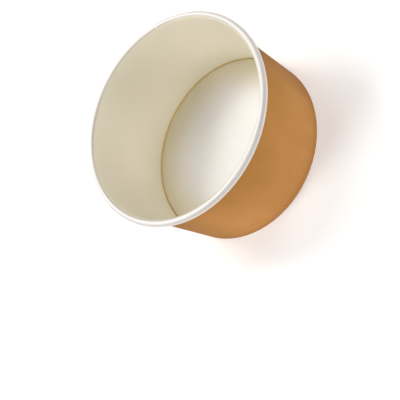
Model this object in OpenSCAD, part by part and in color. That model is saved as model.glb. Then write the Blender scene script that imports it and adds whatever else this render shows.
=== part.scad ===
// Paper bowl: a fan-shaped kraft blank rolled into a leaning wall, with a rolled rim, a lapped side
// seam and a hem turned up inside the foot, and a drawn board disc glued in as the base.
// Millimetres. The bowl stands on Z = 0, its axis is Z, and its side seam is at the back, on +Y.

/* [Bowl] */
// Outside diameter over the rolled rim
rim_d = 150; // [140:1:170]
// Overall height, from the foot to the top of the rim
height = 76.3; // [55:0.1:90]
// Lean of the wall, in degrees from upright
wall_lean = 4.7; // [3:0.1:8]

/* [Board] */
// Thickness of the kraft board of the wall
wall_t = 0.44; // [0.36:0.02:0.56]
// Thickness of the white board of the base disc
disc_t = 0.44; // [0.36:0.02:0.56]
// Glue gap between the base disc's skirt and the board on each side of it
glue_gap = 0.04; // [0.02:0.01:0.08]

/* [Rolled rim] */
// Height of the rolled rim
rim_h = 5.2; // [5:0.1:6]
// Radius of the roll's top turn, to the middle of the board
top_turn_r = 2.2; // [2.05:0.05:2.3]
// Radius of the roll's bottom turn, to the middle of the board
low_turn_r = 1.9; // [1.8:0.05:1.9]
// Radius of the last turn, hidden inside the roll, to the middle of the board
tuck_r = 1.3; // [1.1:0.05:1.4]

/* [Base] */
// Height of the base disc's upper face above the foot
floor_h = 8.5; // [7.5:0.1:11]
// Radius of the bend between disc and skirt, to the middle of the board
disc_bend_r = 0.75; // [0.5:0.05:1.2]
// Length of the hem that is turned up inside the foot
hem_l = 6; // [4:0.1:6.2]
// How much of the foot's turned edge is pressed flat, as a height
foot_press = 0.05; // [0.03:0.01:0.08]

/* [Side seam] */
// Width of the overlap, as an angle round the bowl in degrees
lap_deg = 6; // [4:0.5:8]
// Angle over which the outer layer swells up towards its cut edge, in degrees
swell_deg = 9; // [8.5:0.5:12]
// How far the overlap lifts the skin of the rolled rim
rim_lift = 0.3; // [0.15:0.05:0.4]
// Depth of the hairline groove inside, beside the inner layer's cut edge
groove_d = 0.15; // [0.1:0.05:0.2]

/* [Hidden] */
$fn = 180;
kraft = [0.70, 0.49, 0.28];
white_board = [0.93, 0.92, 0.88];

// The wall's own frame: its origin is the middle of the board where the roll begins, X stands
// square off the wall towards the outside, and Y runs up along it
lean_s = sin(wall_lean);
lean_c = cos(wall_lean);
wall_top_r = rim_d / 2 - wall_t / 2 - top_turn_r * (1 + lean_c);
wall_top_z = height - wall_t / 2 - top_turn_r * (1 - lean_s);
function wall_r(z) = wall_top_r - (wall_top_z - z) * lean_s / lean_c;

// Length of the roll's straight outer flank
flank_l = (rim_h - wall_t - top_turn_r - low_turn_r - (top_turn_r - low_turn_r) * lean_s) / lean_c;
// Distance from the middle of the wall to the middle of the skirt, and on to the middle of the hem
skirt_pitch = (wall_t + disc_t) / 2 + glue_gap;
// Length of the straight wall, down to where it turns under the skirt
wall_l = (wall_top_z - skirt_pitch * (1 - lean_s) - wall_t / 2 + foot_press) / lean_c;

// Centre of the bend between the base disc and its skirt, and the length of the skirt below it
disc_bend_x = -skirt_pitch - disc_bend_r;
disc_bend_z = floor_h - disc_t / 2 - disc_bend_r;
disc_bend_y = (disc_bend_z - wall_top_z + disc_bend_x * lean_s) / lean_c;
disc_flat_r = wall_top_r + disc_bend_x * lean_c + disc_bend_y * lean_s;
skirt_l = wall_l + disc_bend_y - 0.2;

// The seam: angles of the inner and the outer layer's cut edges
seam_deg = 90;
inner_edge_deg = seam_deg + lap_deg / 2;
outer_edge_deg = seam_deg - lap_deg / 2;
// The rim's lift fades out past the outer layer's edge in this many steps, each this wide in degrees
lift_steps = 3;
lift_step_deg = 1.2;

// Draws a section of the wall in its own frame
module on_wall() {
    translate([wall_top_r, wall_top_z]) rotate(-wall_lean) children();
}

// A strip of board of thickness t that runs up from y by length l, with its middle at x
module straight(x, y, l, t) {
    translate([x - t / 2, y]) square([t, l]);
}

// A half turn of board of thickness t about a centre, over the top (side = 1) or underneath (side = -1)
module half_turn(centre, r, t, side) {
    reach = r + t;
    translate(centre) intersection() {
        difference() {
            circle(r = r + t / 2);
            circle(r = r - t / 2);
        }
        translate([-reach, side > 0 ? 0 : -reach]) square([2 * reach, reach]);
    }
}

// The rolled rim: over, down the flank, under, up beside the wall and over again inside the roll
module roll_section() {
    flank_x = 2 * top_turn_r;
    inside_x = flank_x - 2 * low_turn_r;
    half_turn([top_turn_r, 0], top_turn_r, wall_t, 1);
    straight(flank_x, -flank_l, flank_l, wall_t);
    half_turn([flank_x - low_turn_r, -flank_l], low_turn_r, wall_t, -1);
    straight(inside_x, -flank_l, flank_l, wall_t);
    half_turn([inside_x + tuck_r, 0], tuck_r, wall_t, 1);
}

// The wall with its roll above and its hem below, turned up round the space for the skirt
module wall_section() {
    difference() {
        on_wall() {
            roll_section();
            straight(0, -wall_l, wall_l, wall_t);
            half_turn([-skirt_pitch, -wall_l], skirt_pitch, wall_t, -1);
            straight(-2 * skirt_pitch, -wall_l, hem_l, wall_t);
        }
        translate([0, -height]) square([rim_d, height]);
    }
}

// Where both layers of the seam go round the roll, its skin is lifted most on the outer flank
module lifted_skin(lift) {
    flank_x = 2 * top_turn_r;
    low_x = flank_x - low_turn_r;
    top_reach = top_turn_r + wall_t + lift;
    low_reach = low_turn_r + wall_t + lift;
    on_wall() {
        intersection() {
            difference() {
                translate([top_turn_r + lift / 2, 0]) circle(r = top_turn_r + (wall_t + lift) / 2);
                translate([top_turn_r, 0]) circle(r = top_turn_r);
            }
            square([2 * top_reach, top_reach]);
        }
        translate([flank_x, -flank_l]) square([wall_t / 2 + lift, flank_l]);
        intersection() {
            difference() {
                translate([low_x + lift / 2, -flank_l]) circle(r = low_turn_r + (wall_t + lift) / 2);
                translate([low_x, -flank_l]) circle(r = low_turn_r);
            }
            translate([low_x - low_turn_r, -flank_l - low_reach]) square([2 * low_reach, low_reach]);
        }
    }
}

// The overlap in the rolled rim: it starts at the inner layer's cut edge, and fades out at the other
module rim_lap() {
    for (k = [1 : lift_steps])
        rotate(inner_edge_deg)
            rotate_extrude(angle = -lap_deg - (lift_steps - k) * lift_step_deg)
                lifted_skin(rim_lift * k / lift_steps);
}

// The outer layer of the side seam: a narrower cone, set off so that it stands one board proud of the
// wall at the outer layer's cut edge and meets the wall again swell_deg away
module outer_lap() {
    low_z = 1;
    high_z = wall_top_z - flank_l - low_turn_r - wall_t;
    shift = wall_t / (1 - cos(swell_deg));
    face = wall_t / 2 / lean_c;
    proud = face + wall_t - shift;
    intersection() {
        difference() {
            rotate(outer_edge_deg) translate([shift, 0, low_z])
                cylinder(h = high_z - low_z, r1 = wall_r(low_z) + proud, r2 = wall_r(high_z) + proud);
            cylinder(h = height, r1 = wall_r(0), r2 = wall_r(height));
        }
        linear_extrude(height = height)
            polygon([[0, 0],
                     rim_d * [cos(outer_edge_deg), sin(outer_edge_deg)],
                     rim_d * [cos(outer_edge_deg + 2 * swell_deg), sin(outer_edge_deg + 2 * swell_deg)]]);
    }
}

// The hairline groove down the inside, beside the inner layer's cut edge
module inner_groove() {
    low_z = floor_h + wall_t;
    inside_r = wall_r(low_z) - wall_t / 2 / lean_c;
    rotate(inner_edge_deg) translate([inside_r, 0, low_z]) rotate([0, wall_lean, 0])
        cylinder(h = (wall_top_z - low_z) / lean_c, r = groove_d);
}

module side_wall() {
    color(kraft) difference() {
        union() {
            rotate_extrude() wall_section();
            outer_lap();
            rim_lap();
        }
        inner_groove();
    }
}

// The disc and its skirt: the bend is one ring, drawn level for the disc and leaning for the skirt
module disc_bend() {
    intersection() {
        half_turn([0, 0], disc_bend_r, disc_t, 1);
        square(disc_bend_r + disc_t);
    }
}

module base_disc() {
    color(white_board) rotate_extrude() {
        translate([0, floor_h - disc_t]) square([disc_flat_r, disc_t]);
        translate([disc_flat_r, disc_bend_z]) {
            disc_bend();
            rotate(-wall_lean) {
                disc_bend();
                straight(disc_bend_r, -skirt_l, skirt_l, disc_t);
            }
        }
    }
}

side_wall();
base_disc();
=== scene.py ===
from math import cos, radians, sin

import bmesh
import bpy
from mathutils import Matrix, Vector


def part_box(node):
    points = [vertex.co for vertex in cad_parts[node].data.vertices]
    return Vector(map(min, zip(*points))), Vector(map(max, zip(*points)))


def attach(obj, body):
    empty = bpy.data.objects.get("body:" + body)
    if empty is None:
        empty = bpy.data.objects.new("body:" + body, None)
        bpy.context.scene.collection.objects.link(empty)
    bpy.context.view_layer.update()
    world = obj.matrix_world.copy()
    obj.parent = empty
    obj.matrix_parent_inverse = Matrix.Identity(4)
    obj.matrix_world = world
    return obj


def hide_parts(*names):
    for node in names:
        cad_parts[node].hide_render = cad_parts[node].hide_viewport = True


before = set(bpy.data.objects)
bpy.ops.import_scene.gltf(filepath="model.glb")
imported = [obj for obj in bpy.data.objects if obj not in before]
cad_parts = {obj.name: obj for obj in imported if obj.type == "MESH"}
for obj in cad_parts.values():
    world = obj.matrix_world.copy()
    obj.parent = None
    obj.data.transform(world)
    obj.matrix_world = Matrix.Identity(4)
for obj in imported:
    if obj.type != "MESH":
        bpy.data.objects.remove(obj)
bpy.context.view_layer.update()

# Paper bowl, dressed round its CAD frame. The bowl stands on Z = 0 and its side seam is at the back,
# on +Y. The board's sizes are in millimetres and its angles in degrees; meshes are made in metres.

mm = 0.001
wallLow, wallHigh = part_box("side_wall")
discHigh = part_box("base_disc")[1]
print("bowl: frame loaded")


# Stations run along the middle of the board. Each has its spot, the way its white face looks, and
# how much of the seam's lift on the rolled rim it takes.
def bendRound(centre, radius, start, end, steps, whiteOut=1, onRoll=False):
    stations = []
    for step in range(steps + 1):
        angle = radians(start + (end - start) * step / steps)
        way = Vector((cos(angle), sin(angle)))
        stations.append({"spot": Vector(centre) + way * radius, "white": way * whiteOut,
                         "roll": (1 + way.x) / 2 if onRoll else 0.0})
    return stations


def runStraight(start, end, steps, white, roll=0.0):
    start, end = Vector(start), Vector(end)
    return [{"spot": start.lerp(end, step / steps), "white": Vector(white), "roll": roll}
            for step in range(steps + 1)]


def joinParts(parts):
    # each part starts where the one before it ends
    return parts[0] + [station for part in parts[1:] for station in part[1:]]


def smoothStep(low, high, value):
    t = min(max((value - low) / (high - low), 0), 1)
    return t * t * (3 - 2 * t)


# Both faces of the board as one outline in the plane of the bowl's axis: down the white face and
# back up the other one
def outlineOf(stations, board):
    def facePoint(station, side):
        face = station["white"] * side
        spot = station["spot"] + face * board / 2
        white = side > 0
        return {"reach": spot.x * mm, "rise": spot.y * mm, "faceR": face.x, "faceZ": face.y,
                "coat": 1.0 if white else 0.0,
                "roll": station["roll"] if white else 0.0,
                "shoulder": station.get("shoulder", 0.0) if white else 0.0,
                "lap": 0.0 if white else station.get("lap", 0.0),
                "groove": station.get("groove", 0.0) if white else 0.0}

    return ([facePoint(station, 1) for station in stations]
            + [facePoint(station, -1) for station in reversed(stations)])


# the wall's kraft blank, white on the face that ends up inside the bowl and over the rolled rim
wall = {
    "lean": 4.7,
    "board": 0.44,
    "rimHeight": 5.2,
    "topTurn": 2.2,          # radii of the roll's turns, to the middle of the board
    "lowTurn": 1.9,
    "tuckTurn": 1.3,
    "footPress": 0.05,       # how far the foot's turned edge is pressed flat
    "hemLength": 6.0,
    "glueGap": 0.04,         # between the disc's skirt and the board on each side of it
    "rollSteps": 18,         # rows round each half turn of the roll, and so on down to the hem
    "tuckSteps": 6,
    "footSteps": 8,
    "hemSteps": 4,
}

# the side seam: two layers between its cut edges, and what they do to the faces of the wall
seam = {
    "innerEdge": 93.0,
    "outerEdge": 87.0,
    "swell": 9.0,            # the outer layer rises over this angle up to its cut edge
    "rimLift": 0.3,
    "rimFade": 3.6,
    "shoulderLift": 0.28,    # of the roll's inner shoulder, which fades down the wall
    "shoulderDepth": 5.0,
    "groove": 0.04,
    "grooveHalf": 0.05,      # half of its width, as an angle
    "innerStep": 0.05,
    "innerFade": 5.0,
    "lapFoot": (1.0, 2.2),   # heights between which the outer layer comes out of the foot
    "lapRise": 1.0,          # height over which it goes under the rolled rim
    "crowding": 3.0,         # columns crowd towards each cut edge from this far away
    "columns": 480,
    "waver": 0.09,           # how far the wall wavers in and out at its rim
    "waverFoot": 9.0,        # height at which the waver begins
    "waverSize": 0.9,        # how close together its waves stand round the bowl, and up it
    "waverRise": 8.0,
    "seed": 4.0,
}

# the base disc and its skirt
disc = {
    "board": 0.44,
    "bend": 0.75,
    "skirtSpare": 0.2,
    "flatRows": 12,
    "bendSteps": 6,
    "skirtRows": 3,
    "columns": 360,
}

leanC, leanS = cos(radians(wall["lean"])), sin(radians(wall["lean"]))
rimRadius = (wallHigh.x - wallLow.x) / 2 / mm
# the frame's box takes in the lifted skin at the seam
bowlHeight = wallHigh.z / mm - seam["rimLift"] / 2 * (1 - leanS)
floorHeight = discHigh.z / mm
wallTopR = rimRadius - wall["board"] / 2 - wall["topTurn"] * (1 + leanC)
wallTopZ = bowlHeight - wall["board"] / 2 - wall["topTurn"] * (1 - leanS)
skirtPitch = (wall["board"] + disc["board"]) / 2 + wall["glueGap"]
wallLength = (wallTopZ - skirtPitch * (1 - leanS) - wall["board"] / 2 + wall["footPress"]) / leanC


# From the axis to the middle of the wall's board
def wallRadius(height):
    return wallTopR - (wallTopZ - height) * leanS / leanC


# From the wall's own frame, whose origin is where the roll begins and whose Y runs up the wall, to
# the distance from the bowl's axis and the height
def toBowl(station):
    def turned(v):
        return Vector((v.x * leanC + v.y * leanS, v.y * leanC - v.x * leanS))

    station["spot"] = turned(station["spot"]) + Vector((wallTopR, wallTopZ))
    station["white"] = turned(station["white"])
    return station


def wallStations():
    board, top, low = wall["board"], wall["topTurn"], wall["lowTurn"]
    flankX = 2 * top
    insideX = flankX - 2 * low
    flank = (wall["rimHeight"] - board - top - low - (top - low) * leanS) / leanC
    underRim = wallTopZ - flank - low - board
    lapFoot = seam["lapFoot"]
    rollSteps = wall["rollSteps"]

    def downWall(z):
        return (wallTopZ - z) / leanC

    # where each run of the straight wall ends and how many rows it has: they stand close where the
    # outer layer comes out and goes in
    breaks = [(0, 0), (downWall(underRim), 4), (downWall(underRim - seam["lapRise"]), 3),
              (downWall(lapFoot[1]), 20), (downWall(lapFoot[0]), 3), (wallLength, 1)]
    straight = [runStraight((0, -start), (0, -end), steps, (-1, 0))
                for (start, _), (end, steps) in zip(breaks, breaks[1:])]
    parts = [
        bendRound((insideX + wall["tuckTurn"], 0), wall["tuckTurn"], 0, 180, wall["tuckSteps"]),
        runStraight((insideX, 0), (insideX, -flank), 1, (-1, 0)),
        bendRound((flankX - low, -flank), low, 180, 360, rollSteps, onRoll=True),
        runStraight((flankX, -flank), (flankX, 0), 2, (1, 0), roll=1.0),
        bendRound((top, 0), top, 0, 180, rollSteps, onRoll=True),
        joinParts(straight),
        bendRound((-skirtPitch, -wallLength), skirtPitch, 0, -180, wall["footSteps"], whiteOut=-1),
        runStraight((-2 * skirtPitch, -wallLength), (-2 * skirtPitch, wall["hemLength"] - wallLength),
                    wall["hemSteps"], (1, 0)),
    ]
    stations = [toBowl(station) for station in joinParts(parts)]
    straightCount = len(joinParts(straight))
    firstStraight = len(joinParts(parts[:5])) - 1
    for station in stations[firstStraight:firstStraight + straightCount]:
        height = station["spot"].y
        station["lap"] = (smoothStep(*lapFoot, height)
                          * (1 - smoothStep(underRim - seam["lapRise"], underRim, height)))
        station["groove"] = smoothStep(floorHeight, floorHeight + 1, height)
        station["shoulder"] = smoothStep(wallTopZ - seam["shoulderDepth"], wallTopZ, height)
    # over the top of the roll the shoulder's lift gives way to the rim's
    for station in stations[firstStraight - rollSteps:firstStraight]:
        station["shoulder"] = 1 - station["roll"]
    return stations


def discStations():
    board, bend = disc["board"], disc["bend"]
    bendX = -skirtPitch - bend
    bendZ = floorHeight - board / 2 - bend
    bendY = (bendZ - wallTopZ + bendX * leanS) / leanC
    flatR = wallTopR + bendX * leanC + bendY * leanS
    skirtLength = wallLength + bendY - disc["skirtSpare"]
    flat = runStraight((0, bendZ + bend), (flatR, bendZ + bend), disc["flatRows"], (0, 1))
    turn = bendRound((flatR, bendZ), bend, 90, -wall["lean"], disc["bendSteps"])
    top = turn[-1]["spot"]
    skirt = runStraight(top, top - Vector((leanS, leanC)) * skirtLength, disc["skirtRows"],
                        (leanC, -leanS))
    return joinParts([flat, turn, skirt])


def plug(tree, socket, value):
    if isinstance(value, bpy.types.NodeSocket):
        tree.links.new(value, socket)
    else:
        socket.default_value = value


def addNode(tree, kind, values=None, **settings):
    node = tree.nodes.new(kind)
    for name, setting in settings.items():
        setattr(node, name, setting)
    for name, value in (values or {}).items():
        plug(tree, node.inputs[name], value)
    return node


def addMath(tree, operation, *values):
    node = addNode(tree, "ShaderNodeMath", operation=operation)
    for socket, value in zip(node.inputs, values):
        plug(tree, socket, value)
    return node.outputs[0]


def addSmooth(tree, value, low, high, toLow=0.0, toHigh=1.0):
    return addNode(tree, "ShaderNodeMapRange", {
        "Value": value, "From Min": low, "From Max": high, "To Min": toLow, "To Max": toHigh,
    }, interpolation_type="SMOOTHSTEP").outputs["Result"]


# 1 below the lower value, and 0 above the higher one
def addFall(tree, value, low, high):
    return addSmooth(tree, value, low, high, 1.0, 0.0)


def multiply(tree, *values):
    product = values[0]
    for value in values[1:]:
        product = addMath(tree, "MULTIPLY", product, value)
    return product


# The long side of a right-angled triangle
def longSide(tree, first, second):
    squares = [addMath(tree, "POWER", side, 2.0) for side in (first, second)]
    return addMath(tree, "SQRT", addMath(tree, "ADD", *squares))


def addInputs(tree, inputs):
    for name, kind in inputs.items():
        tree.interface.new_socket(name, in_out="INPUT", socket_type="NodeSocket" + kind)
    return addNode(tree, "NodeGroupInput").outputs


# Sweeps the outline along a ring, and keeps each point's column
def sweepOutline(tree, given):
    ring = addNode(tree, "GeometryNodeCurvePrimitiveCircle", {"Resolution": given["Columns"]})
    held = addNode(tree, "GeometryNodeCaptureAttribute", {"Geometry": ring.outputs["Curve"]},
                   domain="POINT")
    held.capture_items.new("FLOAT", "column")
    tree.links.new(addNode(tree, "GeometryNodeInputIndex").outputs[0], held.inputs["column"])
    section = addNode(tree, "GeometryNodeMeshToCurve", {"Mesh": given["Outline"]})
    swept = addNode(tree, "GeometryNodeCurveToMesh", {
        "Curve": held.outputs["Geometry"], "Profile Curve": section.outputs["Curve"]})
    return swept.outputs["Mesh"], held.outputs["column"]


# Columns stand half a step off the cut edges, and close up on both sides of each
def crowdColumns(calc, given, column):
    rawAngle = calc("MULTIPLY", calc("ADD", column, 0.5), calc("DIVIDE", 360.0, given["Columns"]))
    angle = rawAngle
    for edge in ("Inner Edge", "Outer Edge"):
        off = calc("SUBTRACT", rawAngle, given[edge])
        share = calc("MINIMUM", calc("DIVIDE", calc("ABSOLUTE", off), given["Crowding"]), 1.0)
        pull = calc("MULTIPLY", given["Crowding"],
                    calc("SUBTRACT", calc("POWER", share, 3.0), share))
        angle = calc("ADD", angle, calc("MULTIPLY", calc("SIGN", off), pull))
    return angle


# How far each face is lifted at the seam: the outer layer stands proud from its cut edge on, the skin
# of the roll up to the inner layer's cut edge, and the wall's inside is sunk a little beside that
def liftSeam(tree, calc, given, stored, angle):
    pastOuter = calc("GREATER_THAN", angle, given["Outer Edge"])
    fromOuter = calc("DIVIDE", calc("SUBTRACT", angle, given["Outer Edge"]), given["Swell"])
    lapShape = calc("MULTIPLY", pastOuter,
                    calc("MAXIMUM", calc("SUBTRACT", 1.0, calc("POWER", fromOuter, 2.0)), 0.0))
    pastInner = calc("GREATER_THAN", angle, given["Inner Edge"])
    fadeStart = calc("SUBTRACT", given["Outer Edge"], given["Rim Fade"])
    rollShape = calc("MULTIPLY", calc("SUBTRACT", 1.0, pastInner),
                     addSmooth(tree, angle, fadeStart, given["Outer Edge"]))
    fromInner = calc("SUBTRACT", angle, given["Inner Edge"])
    grooveShape = calc("LESS_THAN", calc("ABSOLUTE", fromInner), given["Groove Half"])
    stepShape = calc("MULTIPLY", pastInner, addFall(tree, fromInner, 0.0, given["Inner Fade"]))

    skinLift = calc("ADD", calc("MULTIPLY", stored("roll"), given["Rim Lift"]),
                    calc("MULTIPLY", stored("shoulder"), given["Shoulder Lift"]))
    lapLift = multiply(tree, stored("lap"), given["Board"], lapShape)
    sunk = calc("ADD", calc("MULTIPLY", given["Groove"], grooveShape),
                calc("MULTIPLY", given["Inner Step"], stepShape))
    return calc("SUBTRACT", calc("ADD", calc("MULTIPLY", skinLift, rollShape), lapLift),
                calc("MULTIPLY", stored("groove"), sunk))


# Puts each point at its angle, with the seam's lift and a slow waver that grows towards the rim
def placePoints(tree, calc, given, stored, angle, lift):
    turn = calc("RADIANS", angle)
    cosine, sine = calc("COSINE", turn), calc("SINE", turn)
    reach, rise = stored("reach"), stored("rise")
    around = addNode(tree, "ShaderNodeCombineXYZ", {
        "X": cosine, "Y": sine, "Z": calc("MULTIPLY", rise, given["Waver Rise"])})
    noise = addNode(tree, "ShaderNodeTexNoise", {
        "Vector": around.outputs[0], "W": given["Seed"], "Scale": given["Waver Size"], "Detail": 1.0},
        noise_dimensions="4D")
    waver = multiply(tree, calc("SUBTRACT", noise.outputs["Fac"], 0.5), given["Waver"], 2.0,
                     addSmooth(tree, rise, given["Waver Foot"], given["Waver Top"]))
    radius = calc("ADD", calc("ADD", reach, waver), calc("MULTIPLY", stored("faceR"), lift))
    height = calc("MAXIMUM", calc("ADD", rise, calc("MULTIPLY", stored("faceZ"), lift)), 0.0)
    return addNode(tree, "ShaderNodeCombineXYZ", {
        "X": calc("MULTIPLY", radius, cosine), "Y": calc("MULTIPLY", radius, sine),
        "Z": height}).outputs[0]


# The board's raw edge shows at the outline's ends, where faces lie between the white coat's 1 and the
# other side's 0, and where a layer of the seam stops. Faces that span a cut edge lie half a column
# below it.
def rawEdges(calc, given, stored, column):
    coat = stored("coat")
    edges = calc("LESS_THAN", calc("ABSOLUTE", calc("SUBTRACT", coat, 0.5)), 0.3)
    for edge, layer in (("Inner Edge", "roll"), ("Outer Edge", "lap")):
        middle = calc("SUBTRACT",
                      calc("DIVIDE", calc("MULTIPLY", given[edge], given["Columns"]), 360.0), 0.5)
        near = calc("LESS_THAN", calc("ABSOLUTE", calc("SUBTRACT", column, middle)), 0.25)
        edges = calc("MAXIMUM", edges, calc("MULTIPLY", near, calc("GREATER_THAN", stored(layer), 0.1)))
    return edges


# Turns a board's outline round the bowl's axis, lifts its faces at the seam, and gives each face its
# material
def makeRevolveTree():
    mergeDistance, sharpAngle = 1e-7, radians(40)
    tree = bpy.data.node_groups.new("revolvedBoard", "GeometryNodeTree")
    given = addInputs(tree, {
        "Outline": "Geometry", "Columns": "Int", "Inner Edge": "Float", "Outer Edge": "Float",
        "Crowding": "Float", "Swell": "Float", "Rim Fade": "Float", "Board": "Float",
        "Rim Lift": "Float", "Shoulder Lift": "Float", "Groove": "Float", "Groove Half": "Float",
        "Inner Step": "Float", "Inner Fade": "Float", "Waver": "Float", "Waver Size": "Float",
        "Waver Rise": "Float", "Waver Foot": "Float", "Waver Top": "Float", "Seed": "Float",
        "White Face": "Material", "Other Face": "Material", "Cut Edge": "Material"})
    tree.interface.new_socket("Bowl Board", in_out="OUTPUT", socket_type="NodeSocketGeometry")

    def calc(operation, *values):
        return addMath(tree, operation, *values)

    def stored(name):
        return addNode(tree, "GeometryNodeInputNamedAttribute", {"Name": name},
                       data_type="FLOAT").outputs["Attribute"]

    swept, column = sweepOutline(tree, given)
    angle = crowdColumns(calc, given, column)
    lift = liftSeam(tree, calc, given, stored, angle)
    placed = addNode(tree, "GeometryNodeSetPosition", {
        "Geometry": swept, "Position": placePoints(tree, calc, given, stored, angle, lift)})
    merged = addNode(tree, "GeometryNodeMergeByDistance", {
        "Geometry": placed.outputs["Geometry"], "Distance": mergeDistance})
    smooth = addNode(tree, "GeometryNodeSetShadeSmooth", {"Geometry": merged.outputs["Geometry"]},
                     domain="FACE")
    bendAngle = addNode(tree, "GeometryNodeInputMeshEdgeAngle").outputs["Unsigned Angle"]
    sharp = addNode(tree, "GeometryNodeSetShadeSmooth", {
        "Geometry": smooth.outputs["Geometry"],
        "Selection": calc("GREATER_THAN", bendAngle, sharpAngle), "Shade Smooth": False},
        domain="EDGE")
    shaped = addNode(tree, "GeometryNodeRealizeInstances", {"Geometry": sharp.outputs["Geometry"]})

    painted = shaped.outputs["Geometry"]
    for material, chosen in (("Other Face", True),
                             ("White Face", calc("GREATER_THAN", stored("coat"), 0.8)),
                             ("Cut Edge", rawEdges(calc, given, stored, column))):
        painted = addNode(tree, "GeometryNodeSetMaterial", {
            "Geometry": painted, "Material": given[material], "Selection": chosen}).outputs["Geometry"]
    addNode(tree, "NodeGroupOutput", {"Bowl Board": painted})
    return tree


# A mesh of the outline's points, joined in their order, with what the tree needs at each of them
def outlineObject(name, points, closed):
    mesh = bpy.data.meshes.new(name)
    edges = [(i, i + 1) for i in range(len(points) - 1)]
    if closed:
        edges.append((len(points) - 1, 0))
    mesh.from_pydata([(p["reach"], 0, p["rise"]) for p in points], edges, [])
    for key in points[0]:
        values = mesh.attributes.new(key, "FLOAT", "POINT")
        values.data.foreach_set("value", [p[key] for p in points])
    piece = bpy.data.objects.new(name, mesh)
    bpy.context.scene.collection.objects.link(piece)
    return piece


def revolve(piece, tree, inputs):
    modifier = piece.modifiers.new("revolve", "NODES")
    modifier.node_group = tree
    for item in tree.interface.items_tree:
        if item.item_type == "SOCKET" and item.in_out == "INPUT" and item.name in inputs:
            modifier[item.identifier] = inputs[item.name]
    bpy.context.view_layer.update()
    turned = piece.evaluated_get(bpy.context.evaluated_depsgraph_get())
    mesh = bpy.data.meshes.new_from_object(turned)
    piece.modifiers.clear()
    piece.data = mesh
    shell = bmesh.new()
    shell.from_mesh(mesh)
    bmesh.ops.recalc_face_normals(shell, faces=shell.faces)
    shell.to_mesh(mesh)
    shell.free()
    # the rim's painted light and shade in the white coat still read "reach"
    for name in ("rise", "faceR", "faceZ", "coat", "roll", "shoulder", "lap", "groove"):
        mesh.attributes.remove(mesh.attributes[name])
    return piece


# Mottle, fibres and flecks of board, from object coordinates
def makeGrainGroup():
    tree = bpy.data.node_groups.new("boardGrain", "ShaderNodeTree")
    given = addInputs(tree, {"Vector": "Vector", "Mottle Size": "Float", "Fibre Size": "Float"})
    for name in ("Mottle", "Fibres", "Flecks", "Height"):
        tree.interface.new_socket(name, in_out="OUTPUT", socket_type="NodeSocketFloat")

    def noiseOf(size, stretch, detail, seed):
        scaled = addNode(tree, "ShaderNodeMapping", {
            "Vector": given["Vector"], "Scale": stretch, "Location": (seed, seed * 2, seed * 3)})
        return addNode(tree, "ShaderNodeTexNoise", {
            "Vector": scaled.outputs[0], "Scale": addMath(tree, "DIVIDE", 1.0, size),
            "Detail": detail, "Roughness": 0.55}).outputs["Fac"]

    fibreSize = given["Fibre Size"]
    mottle = noiseOf(given["Mottle Size"], stretch=(1, 1, 0.6), detail=3.0, seed=0.1)
    upright = noiseOf(fibreSize, stretch=(1, 1, 0.25), detail=4.0, seed=0.3)
    cross = noiseOf(fibreSize, stretch=(0.5, 0.5, 1.6), detail=3.0, seed=0.5)
    fine = noiseOf(multiply(tree, fibreSize, 0.4), stretch=(1, 1, 1), detail=2.0, seed=0.7)
    fibres = multiply(tree, addMath(tree, "ADD", upright, cross), 0.5)
    height = addMath(tree, "ADD", multiply(tree, fibres, 0.7), multiply(tree, fine, 0.3))
    addNode(tree, "NodeGroupOutput", {
        "Mottle": mottle, "Fibres": fibres, "Flecks": addSmooth(tree, fine, 0.66, 0.78),
        "Height": height})
    return tree


def startMaterial(name, roughness, specular):
    material = bpy.data.materials.new(name)
    material.use_nodes = True
    tree = material.node_tree
    shader = tree.nodes["Principled BSDF"]
    shader.inputs["Roughness"].default_value = roughness
    shader.inputs["Specular IOR Level"].default_value = specular
    return material, tree, shader


# A board's material with its grain in the roughness. A look's sizes are in millimetres, and its
# colours are linear.
def startBoard(name, look, grainGroup):
    material, tree, shader = startMaterial(name, look["rough"], look["specular"])
    spot = addNode(tree, "ShaderNodeTexCoord").outputs["Object"]
    grain = addNode(tree, "ShaderNodeGroup", {
        "Vector": spot, "Mottle Size": look["mottleSize"] * mm, "Fibre Size": look["fibreSize"] * mm},
        node_tree=grainGroup).outputs
    swing = look["roughSwing"]
    rough = addMath(tree, "ADD", look["rough"] - swing / 2, multiply(tree, grain["Fibres"], swing))
    plug(tree, shader.inputs["Roughness"], rough)
    return material, tree, shader, spot, grain


def mixColours(tree, share, first, second, blend="MIX"):
    node = addNode(tree, "ShaderNodeMix", data_type="RGBA", blend_type=blend)
    plug(tree, node.inputs[0], share)
    for socket, colour in ((node.inputs[6], first), (node.inputs[7], second)):
        plug(tree, socket, colour if isinstance(colour, bpy.types.NodeSocket) else (*colour, 1))
    return node.outputs[2]


def tint(tree, share, colour, tone):
    return mixColours(tree, share, colour, tone, "MULTIPLY")


# From the look's dark colour to its light one, as the mottle and the fibres go
def mottleColour(tree, grain, look):
    share = look["mottleShare"]
    tone = addMath(tree, "ADD", multiply(tree, grain["Mottle"], share),
                   multiply(tree, grain["Fibres"], 1 - share))
    return mixColours(tree, addSmooth(tree, tone, 0.3, 0.7), look["dark"], look["light"])


def addFlecks(tree, grain, look, colour):
    return mixColours(tree, multiply(tree, grain["Flecks"], look["fleckShare"]), colour, look["fleck"])


def addBump(tree, shader, height, look):
    bump = addNode(tree, "ShaderNodeBump", {
        "Height": height, "Distance": look["bump"] * mm, "Strength": 1.0})
    plug(tree, shader.inputs["Normal"], bump.outputs[0])


# 1 in the middle of a band of the given half width, and 0 outside it
def addBand(tree, value, middle, halfWidth):
    away = addMath(tree, "ABSOLUTE", addMath(tree, "SUBTRACT", value, middle))
    return addFall(tree, away, halfWidth * 0.5, halfWidth)


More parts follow.
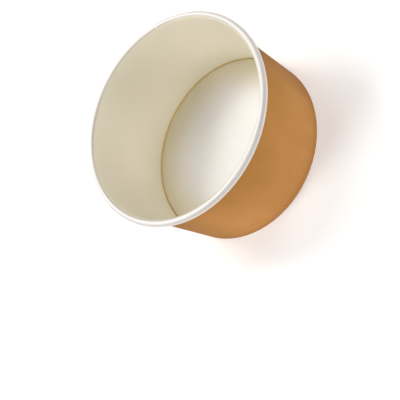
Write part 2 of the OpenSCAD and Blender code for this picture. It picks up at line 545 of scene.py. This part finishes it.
# the wall's outside
kraft = {
    "light": (0.580, 0.281, 0.089),
    "dark": (0.500, 0.234, 0.068),
    "fleck": (0.400, 0.187, 0.054),
    "fleckShare": 0.45,
    "mottleShare": 0.55,
    "mottleSize": 22.0,
    "fibreSize": 1.1,
    "rough": 0.65,
    "roughSwing": 0.14,
    "specular": 0.06,
    "bump": 0.12,
    "rimShade": (0.74, 0.71, 0.58),     # painted shade: a little darker below the rim than at the foot
    "rimShadeFrom": 5.0,
    "glancingShade": (0.60, 0.54, 0.30),    # painted shade: darker where the wall is seen at a glancing angle
    "glancingShadeFrom": 0.55,
    "footTone": (0.91, 0.89, 0.87),    # the pressed band round the foot, which ends between two heights
    "footBand": (4.5, 5.5),
    "ridges": 260.0,                   # the hem inside the foot is pressed with a knurled roller
    "ridgeHeight": 0.5,
    "ridgeFoot": (0.8, 1.4),
    "ridgeTop": (4.6, 5.2),
}


def hemRidges(tree, parts):
    turn = addMath(tree, "ARCTAN2", parts["Y"], parts["X"])
    ridges = addMath(tree, "SINE", multiply(tree, turn, kraft["ridges"]))
    hemFace = (wallRadius(0) - 2 * skirtPitch + wall["board"]) * mm
    onHem = addMath(tree, "LESS_THAN", longSide(tree, parts["X"], parts["Y"]), hemFace)
    low, high = ([edge * mm for edge in kraft[key]] for key in ("ridgeFoot", "ridgeTop"))
    band = multiply(tree, addSmooth(tree, parts["Z"], *low), addFall(tree, parts["Z"], *high))
    return multiply(tree, ridges, onHem, band, kraft["ridgeHeight"])


def makeKraft(grainGroup):
    material, tree, shader, spot, grain = startBoard("kraftBoard", kraft, grainGroup)
    parts = addNode(tree, "ShaderNodeSeparateXYZ", {"Vector": spot}).outputs
    colour = addFlecks(tree, grain, kraft, mottleColour(tree, grain, kraft))
    # painted shade: the kraft darkens up the wall towards the rim
    upWall = addSmooth(tree, parts["Z"], kraft["rimShadeFrom"] * mm, bowlHeight * mm)
    colour = tint(tree, upWall, colour, kraft["rimShade"])
    onFoot = addFall(tree, parts["Z"], *(edge * mm for edge in kraft["footBand"]))
    colour = tint(tree, onFoot, colour, kraft["footTone"])
    # painted shade at the wall's outline, by its angle to the camera
    glancing = addNode(tree, "ShaderNodeLayerWeight", {"Blend": 0.5}).outputs["Facing"]
    colour = tint(tree, addSmooth(tree, glancing, kraft["glancingShadeFrom"], 1.0), colour, kraft["glancingShade"])
    plug(tree, shader.inputs["Base Color"], colour)
    addBump(tree, shader, addMath(tree, "ADD", grain["Height"], hemRidges(tree, parts)), kraft)
    return material


# the white coated faces, with painted shade along the crease between wall and base: a golden line in it
# and a warm shade spreading out from it
whiteBoard = {
    "mottleShare": 0.7,
    "mottleSize": 30.0,
    "fibreSize": 1.6,
    "rough": 0.38,
    "roughSwing": 0.1,
    "specular": 0.5,
    "bump": 0.04,
}
wallCoat = {
    **whiteBoard,
    "light": (0.835, 0.787, 0.655),
    "dark": (0.806, 0.752, 0.612),
    "spreadShadeWidth": 2.0,        # how far the painted warm shade spreads from the crease
}
baseCoat = {
    **whiteBoard,
    "light": (0.815, 0.797, 0.785),
    "dark": (0.786, 0.761, 0.734),
    "spreadShadeWidth": 30.0,
}
crease = {
    "paintedShade": (0.76, 0.50, 0.10),
    "line": 0.9,             # how strong the painted shade is in the line, and in the halo round it
    "halo": 0.07,
    "lineWidth": 0.46,
    "haloWidth": 4.0,
    # painted shade that spreads from the crease, warmer and darker near it
    "spreadShade": (0.91, 0.84, 0.62),
}


# Masks for the painted crease shade: the line in the crease, the halo round it and the warm shade
# beyond, which fade with the distance from the crease
def makeCreaseGroup():
    tree = bpy.data.node_groups.new("paintedCreaseShade", "ShaderNodeTree")
    given = addInputs(tree, {"Vector": "Vector", "Line Width": "Float", "Halo Width": "Float",
                             "Spread Width": "Float"})
    for name in ("Line", "Halo", "Spread Shade"):
        tree.interface.new_socket(name, in_out="OUTPUT", socket_type="NodeSocketFloat")
    parts = addNode(tree, "ShaderNodeSeparateXYZ", {"Vector": given["Vector"]}).outputs
    creaseRadius = (wallRadius(floorHeight) - wall["board"] / 2) * mm
    off = addMath(tree, "SUBTRACT", longSide(tree, parts["X"], parts["Y"]), creaseRadius)
    up = addMath(tree, "SUBTRACT", parts["Z"], floorHeight * mm)
    away = longSide(tree, off, up)
    addNode(tree, "NodeGroupOutput", {
        "Line": addFall(tree, away, multiply(tree, given["Line Width"], 0.35), given["Line Width"]),
        "Halo": addFall(tree, away, 0.0, given["Halo Width"]),
        "Spread Shade": addFall(tree, away, 0.0, given["Spread Width"])})
    return tree


# the rolled rim's painted light and shade: a whiter lit crest and greyer shaded bands. Places are in
# millimetres, out from the top of the straight wall and down from the top of the rim, and degrees are
# from the inner layer's cut edge
rim = {
    # painted light: the crest of the roll is a whiter, lit copy of the wall's coat
    "white": (0.80, 0.77, 0.73),
    "litCrestFrom": (0.8, 1.4),
    # painted shade on the roll's outer flank
    "flankShade": (0.82, 0.80, 0.79),
    "flankShadeFrom": (3.2, 4.0),
    "topFrom": (2.4, 1.6),
    # painted shade along the roll's outer shoulder
    "outerShade": (0.86, 0.84, 0.84),
    "outerShadeFrom": (2.7, 3.3),
    "shoulderShade": (0.66, 0.625, 0.62),    # painted shade on the roll's inner shoulder
    "shoulderFrom": (-0.15, 0.6),
    "shoulderTo": (1.35, 1.85),
    "shadeDeepest": 155.0,        # the azimuth where the painted shade is deepest
    "shadeMean": 0.72,        # how deep the painted shade is all round, and how far that swings up and down
    "shadeSwing": 0.28,
    "gapMiddle": -0.7,       # where the painted shade is weaker, beside the tick
    "gapHalf": 0.9,
    "gapShare": 0.5,
    # painted shade: a small dark tick at the seam's step
    "tickShade": (0.82, 0.79, 0.78),
    "tickMiddle": 0.35,
    "tickHalf": 0.5,
    "tickTo": (1.4, 1.8),
    "tickTop": (2.2, 1.4),
}


# The painted light and shade follow the skin's place before the seam lifts it, so they show the seam's
# small step
def addRimLightAndShade(tree, colour, spot):
    parts = addNode(tree, "ShaderNodeSeparateXYZ", {"Vector": spot}).outputs
    reach = addNode(tree, "ShaderNodeAttribute", attribute_name="reach").outputs["Fac"]

    def outward(key):
        return [(wallTopR + distance) * mm for distance in rim[key]]

    def nearTop(key):
        return addSmooth(tree, parts["Z"], *((bowlHeight - depth) * mm for depth in rim[key]))

    def roundSeam(name):
        return addBand(tree, angle, seam["innerEdge"] + rim[name + "Middle"], rim[name + "Half"])

    # painted light: the roll's crest takes the whiter, lit copy of the coat
    colour = mixColours(tree, addSmooth(tree, reach, *outward("litCrestFrom")), colour, rim["white"])
    # painted shade on the outer flank
    colour = tint(tree, addSmooth(tree, reach, *outward("flankShadeFrom")), colour, rim["flankShade"])
    onTop = nearTop("topFrom")
    # painted shade along the outer shoulder, on the top of the roll
    onOuter = multiply(tree, onTop, addSmooth(tree, reach, *outward("outerShadeFrom")))
    colour = tint(tree, onOuter, colour, rim["outerShade"])

    # painted shade on the inner shoulder, deeper on the side away from the light
    angle = addMath(tree, "DEGREES", addMath(tree, "ARCTAN2", parts["Y"], parts["X"]))
    offDeepestShade = addMath(tree, "RADIANS", addMath(tree, "SUBTRACT", angle, rim["shadeDeepest"]))
    swing = multiply(tree, addMath(tree, "COSINE", offDeepestShade), rim["shadeSwing"])
    shadeDepth = addMath(tree, "ADD", rim["shadeMean"], swing)
    offGap = addMath(tree, "SUBTRACT", 1.0, multiply(tree, roundSeam("gap"), rim["gapShare"]))
    onShoulder = multiply(tree, onTop, addSmooth(tree, reach, *outward("shoulderFrom")),
                          addFall(tree, reach, *outward("shoulderTo")), shadeDepth, offGap)
    colour = tint(tree, onShoulder, colour, rim["shoulderShade"])
    # painted shade of the seam's step, across the shoulder
    onTick = multiply(tree, roundSeam("tick"), addFall(tree, reach, *outward("tickTo")),
                      nearTop("tickTop"))
    return tint(tree, onTick, colour, rim["tickShade"])


def makeWhite(name, look, grainGroup, creaseGroup, onRim=False):
    material, tree, shader, spot, grain = startBoard(name, look, grainGroup)
    colour = mottleColour(tree, grain, look)
    if onRim:
        colour = addRimLightAndShade(tree, colour, spot)
    near = addNode(tree, "ShaderNodeGroup", {
        "Vector": spot, "Line Width": crease["lineWidth"] * mm, "Halo Width": crease["haloWidth"] * mm,
        "Spread Width": look["spreadShadeWidth"] * mm}, node_tree=creaseGroup).outputs
    # painted shade: warmer and darker towards the crease
    colour = tint(tree, near["Spread Shade"], colour, crease["spreadShade"])
    # painted shade: a golden line in the crease and a halo round it
    for mask, strength in (("Halo", crease["halo"]), ("Line", crease["line"])):
        colour = mixColours(tree, multiply(tree, near[mask], strength), colour, crease["paintedShade"])
    plug(tree, shader.inputs["Base Color"], colour)
    addBump(tree, shader, grain["Height"], look)
    return material


# the board's raw edge, and the base's plain white back
rawBoard = {
    "light": (0.50, 0.33, 0.19),
    "dark": (0.375, 0.248, 0.143),
    "mottleSize": 4.0,
    "fibreSize": 0.3,
    "rough": 0.8,
    "roughSwing": 0.15,
    "specular": 0.3,
    "bump": 0.08,
}
plainBoard = {
    "light": (0.80, 0.785, 0.74),
    "dark": (0.744, 0.730, 0.688),
    "fleck": rawBoard["light"],
    "fleckShare": 0.3,
    "mottleShare": 1.0,
    "mottleSize": 18.0,
    "fibreSize": 1.2,
    "rough": 0.7,
    "roughSwing": 0.15,
    "specular": 0.3,
    "bump": 0.1,
}


def makePlainWhite(grainGroup):
    material, tree, shader, spot, grain = startBoard("baseBoard", plainBoard, grainGroup)
    colour = addFlecks(tree, grain, plainBoard, mottleColour(tree, grain, plainBoard))
    plug(tree, shader.inputs["Base Color"], colour)
    addBump(tree, shader, grain["Height"], plainBoard)
    return material


def makeCutEdge(grainGroup):
    material, tree, shader, spot, grain = startBoard("cutEdge", rawBoard, grainGroup)
    colour = mixColours(tree, grain["Fibres"], rawBoard["dark"], rawBoard["light"])
    plug(tree, shader.inputs["Base Color"], colour)
    addBump(tree, shader, grain["Height"], rawBoard)
    return material


def dress(piece, node):
    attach(piece, "root")
    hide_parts(node)


grainGroup = makeGrainGroup()
creaseGroup = makeCreaseGroup()
kraftBoard = makeKraft(grainGroup)
whiteCoat = makeWhite("whiteCoat", wallCoat, grainGroup, creaseGroup, onRim=True)
discCoat = makeWhite("discCoat", baseCoat, grainGroup, creaseGroup)
baseBoard = makePlainWhite(grainGroup)
cutEdge = makeCutEdge(grainGroup)
print("bowl: finishes made")

revolveTree = makeRevolveTree()
seamPlace = {
    "Inner Edge": seam["innerEdge"], "Outer Edge": seam["outerEdge"], "Swell": seam["swell"],
    "Rim Fade": seam["rimFade"], "Inner Fade": seam["innerFade"]}
bowlWall = outlineObject("bowl_wall", outlineOf(wallStations(), wall["board"]), closed=True)
revolve(bowlWall, revolveTree, {
    **seamPlace, "Columns": seam["columns"], "Crowding": seam["crowding"],
    "Board": wall["board"] * mm, "Rim Lift": seam["rimLift"] * mm,
    "Shoulder Lift": seam["shoulderLift"] * mm, "Groove": seam["groove"] * mm,
    "Groove Half": seam["grooveHalf"], "Inner Step": seam["innerStep"] * mm,
    "Waver": seam["waver"] * mm, "Waver Size": seam["waverSize"], "Waver Rise": seam["waverRise"],
    "Waver Foot": seam["waverFoot"] * mm, "Waver Top": bowlHeight * mm, "Seed": seam["seed"],
    "White Face": whiteCoat, "Other Face": kraftBoard, "Cut Edge": cutEdge})
dress(bowlWall, "side_wall")
print("bowl: wall made,", len(bowlWall.data.polygons), "faces")

# the base takes none of the seam's lifts, and doesn't waver
bowlDisc = outlineObject("bowl_base", outlineOf(discStations(), disc["board"]), closed=False)
revolve(bowlDisc, revolveTree, {
    **seamPlace, "Columns": disc["columns"],
    "White Face": discCoat, "Other Face": baseBoard, "Cut Edge": baseBoard})
dress(bowlDisc, "base_disc")
print("bowl: base made,", len(bowlDisc.data.polygons), "faces")


studio = {
    "floorSize": 40.0,
    "floorLight": (0.90, 0.90, 0.90),
    "floorDark": (0.89, 0.89, 0.89),
    "floorRough": 0.9,
    "floorSpecular": 0.3,
    "floorCloud": 3.0,       # how close together its faint clouds stand
    "floorGlow": 0.2,        # the floor is lit through from below, as a light table is
    # the room is white up to the first of these heights of the view, and dim above the second
    "horizon": (0.10, 0.25),
    "horizonStrength": 1.0,
    "roomStrength": 0.02,
    # far soft lights: azimuth from +X, elevation, width as an angle, and strength
    "lights": {
        "key": (145, 51, 19, 1.18),
        "top": (115, 66, 23, 0.61),
        "left": (210, 36, 30, 1.53),
        "front": (310, 36, 30, 1.0),
        "far": (45, 38, 27, 0.76),
        "slant": (325, 55, 19, 0.21),
    },
    "cameraPlace": (0.50273, -0.47359, 0.78953),
    "cameraTurn": (19.2597, 37.8405, -10.0),
    "cameraLens": 134.447,
    "cameraClip": (0.05, 20),
}


def makeFloor():
    half = studio["floorSize"] / 2
    mesh = bpy.data.meshes.new("floor")
    mesh.from_pydata([(-half, -half, 0), (half, -half, 0), (half, half, 0), (-half, half, 0)],
                     [], [(0, 1, 2, 3)])
    floor = bpy.data.objects.new("floor", mesh)
    bpy.context.scene.collection.objects.link(floor)
    material, tree, shader = startMaterial("palePaper", studio["floorRough"],
                                           studio["floorSpecular"])
    shader.inputs["Emission Color"].default_value = (1, 1, 1, 1)
    shader.inputs["Emission Strength"].default_value = studio["floorGlow"]
    spot = addNode(tree, "ShaderNodeTexCoord").outputs["Object"]
    cloud = addNode(tree, "ShaderNodeTexNoise", {
        "Vector": spot, "Scale": studio["floorCloud"]}).outputs["Fac"]
    colour = mixColours(tree, cloud, studio["floorDark"], studio["floorLight"])
    plug(tree, shader.inputs["Base Color"], colour)
    mesh.materials.append(material)


def makeLights():
    world = bpy.data.worlds.new("studio")
    world.use_nodes = True
    tree = world.node_tree
    sky = tree.nodes["Background"]
    way = addNode(tree, "ShaderNodeTexCoord").outputs["Generated"]
    rise = addNode(tree, "ShaderNodeSeparateXYZ", {"Vector": way}).outputs["Z"]
    low, high = studio["horizon"]
    plug(tree, sky.inputs["Strength"],
         addSmooth(tree, rise, low, high, studio["horizonStrength"], studio["roomStrength"]))
    sky.inputs["Color"].default_value = (1, 1, 1, 1)
    bpy.context.scene.world = world
    for name, (azimuth, elevation, width, strength) in studio["lights"].items():
        light = bpy.data.lights.new(name, "SUN")
        light.angle = radians(width)
        light.energy = strength
        lamp = bpy.data.objects.new(name, light)
        flat = cos(radians(elevation))
        way = Vector((cos(radians(azimuth)) * flat, sin(radians(azimuth)) * flat,
                      sin(radians(elevation))))
        lamp.location = way
        lamp.rotation_euler = way.to_track_quat("Z", "Y").to_euler()
        bpy.context.scene.collection.objects.link(lamp)


def makeCamera():
    data = bpy.data.cameras.new("camera")
    data.lens = studio["cameraLens"]
    data.clip_start, data.clip_end = studio["cameraClip"]
    camera = bpy.data.objects.new("camera", data)
    camera.location = studio["cameraPlace"]
    camera.rotation_euler = [radians(angle) for angle in studio["cameraTurn"]]
    bpy.context.scene.collection.objects.link(camera)
    bpy.context.scene.camera = camera


makeFloor()
makeLights()
makeCamera()
bpy.context.scene.view_settings.view_transform = "Standard"
print("bowl: studio made")
